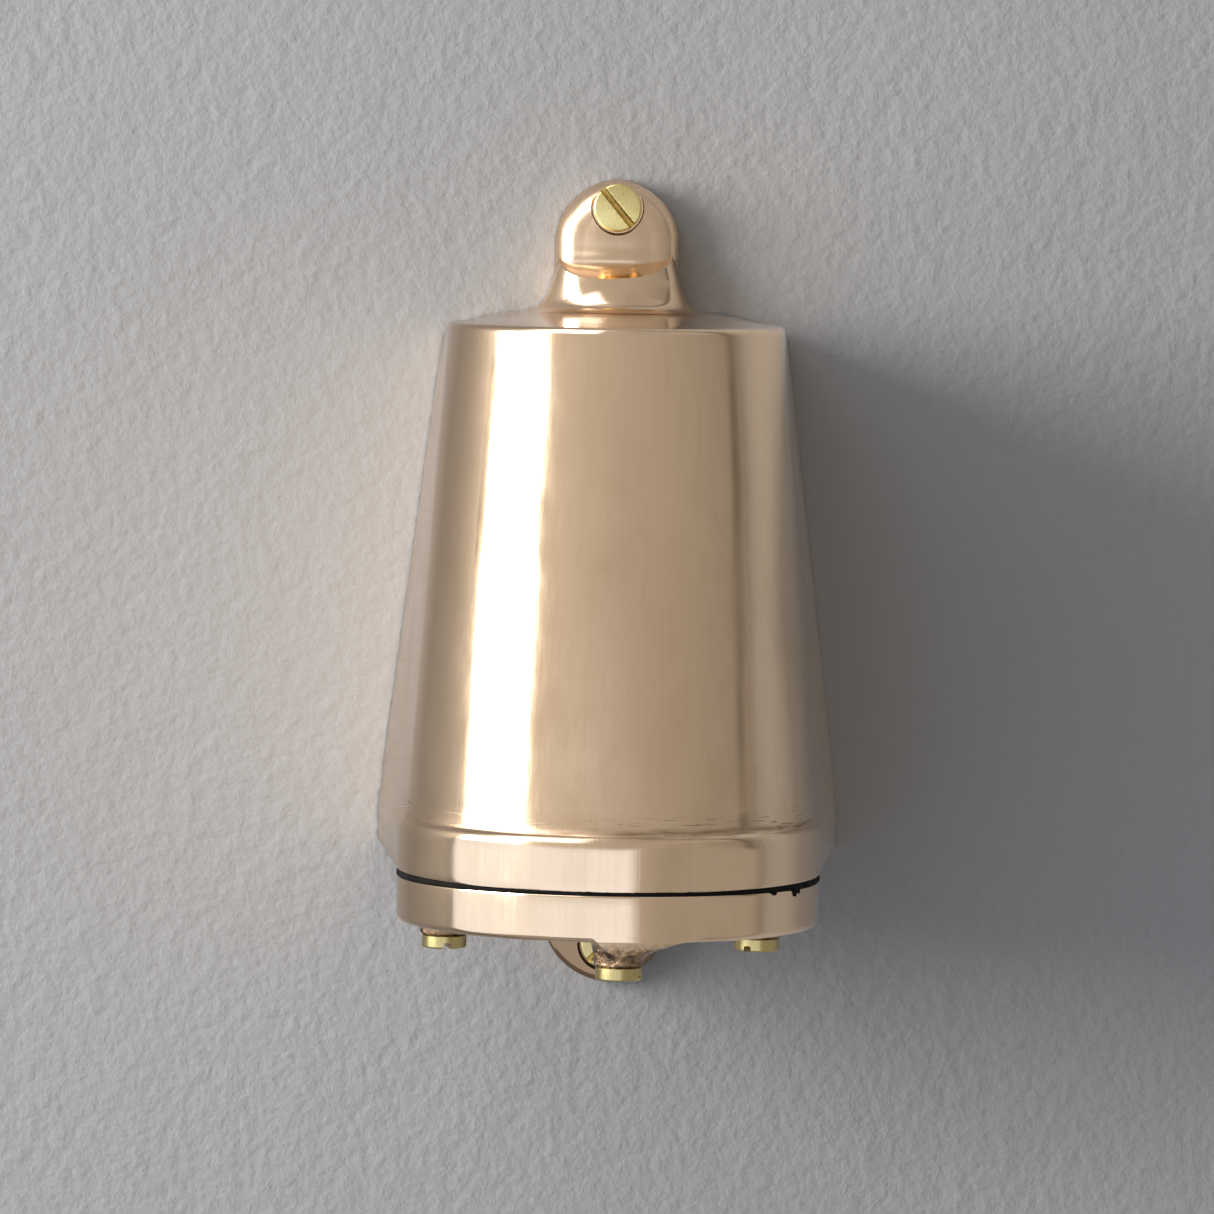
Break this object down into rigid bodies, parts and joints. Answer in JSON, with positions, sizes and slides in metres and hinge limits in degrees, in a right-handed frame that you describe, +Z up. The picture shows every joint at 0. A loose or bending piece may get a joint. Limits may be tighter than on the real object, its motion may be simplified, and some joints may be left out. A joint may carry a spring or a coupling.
{
  "type": "ship's wall light",
  "caption": "Polished cast bronze wall light shaped like a bell, with wall lugs above and below, a rubber gasket and a screwed lens bezel underneath.",
  "frame": {"origin": "on the wall plane, midway between the axes of the upper and lower wall screws", "axes": "+Z up, -Y out of the wall towards the viewer, +X to the right of someone facing the wall; the wall is the plane y = 0"},
  "size_m": [0.0912, 0.1256, 0.1591],
  "materials": {
    "bronze": "polished cast bronze",
    "screw_brass": "satin turned brass",
    "rubber": "matt black",
    "lens": "clear",
    "bulb_glass": "opal",
    "zinc_steel": "zinc plated",
    "phenolic": "moulded, semi-gloss",
    "block_plastic": "moulded, matt",
    "lead_brown": "smooth sleeve",
    "lead_blue": "smooth sleeve",
    "lead_green": "smooth sleeve, two colours"
  },
  "bodies": {
    "housing": {"housing": "bronze", "upper_wall_screw": "screw_brass", "lower_wall_screw": "screw_brass", "flange_gasket": "rubber", "holder_bracket": "zinc_steel", "bracket_screws": "zinc_steel", "lampholder": "phenolic", "holder_screws": "zinc_steel", "holder_shell": "screw_brass", "holder_contact": "screw_brass", "holder_terminals": "screw_brass", "cable_grommet": "rubber", "terminal_block": "block_plastic", "terminal_screws": "screw_brass", "block_screws": "zinc_steel", "earth_screw": "screw_brass", "earth_tag": "zinc_steel", "live_lead": "lead_brown", "neutral_lead": "lead_blue", "earth_lead": "lead_green"},
    "bezel": {"bezel": "bronze", "lens_glass": "lens", "lens_seal": "rubber", "lens_ring": "screw_brass"},
    "bezel_screw_front": {"bezel_screw_front": "screw_brass"},
    "bezel_screw_left": {"bezel_screw_left": "screw_brass"},
    "bezel_screw_right": {"bezel_screw_right": "screw_brass"},
    "lamp_tip": {"lamp_tip": "zinc_steel"},
    "lamp": {"lamp_cap": "zinc_steel", "lamp_insulator": "phenolic", "lamp_bulb": "bulb_glass"}
  },
  "joints": [
    {"name": "bezel_drop", "type": "slide", "parent": "housing", "child": "bezel", "axis": [0, 0, -1], "range_m": [0, 0.06]},
    {"name": "front_screw_turn", "type": "hinge", "parent": "bezel", "child": "bezel_screw_front", "pos_m": [0.00202, -0.09004, -0.0676], "axis": [0, 0, 1], "continuous": true},
    {"name": "left_screw_turn", "type": "hinge", "parent": "bezel", "child": "bezel_screw_left", "pos_m": [-0.03136, -0.03923, -0.0676], "axis": [0, 0, 1], "continuous": true},
    {"name": "right_screw_turn", "type": "hinge", "parent": "bezel", "child": "bezel_screw_right", "pos_m": [0.02934, -0.03573, -0.0676], "axis": [0, 0, 1], "continuous": true},
    {"name": "lamp_travel", "type": "slide", "parent": "housing", "child": "lamp_tip", "axis": [0, 0, -1], "range_m": [0, 0.00705]},
    {"name": "lamp_turn", "type": "hinge", "parent": "lamp_tip", "child": "lamp", "pos_m": [0, -0.055, 0], "axis": [0, 0, -1], "range_deg": [0, 905]}
  ],
  "couplings": [
    {"joint": "lamp_turn", "follows": "lamp_travel", "rad_per_m": 2228.1}
  ]
}
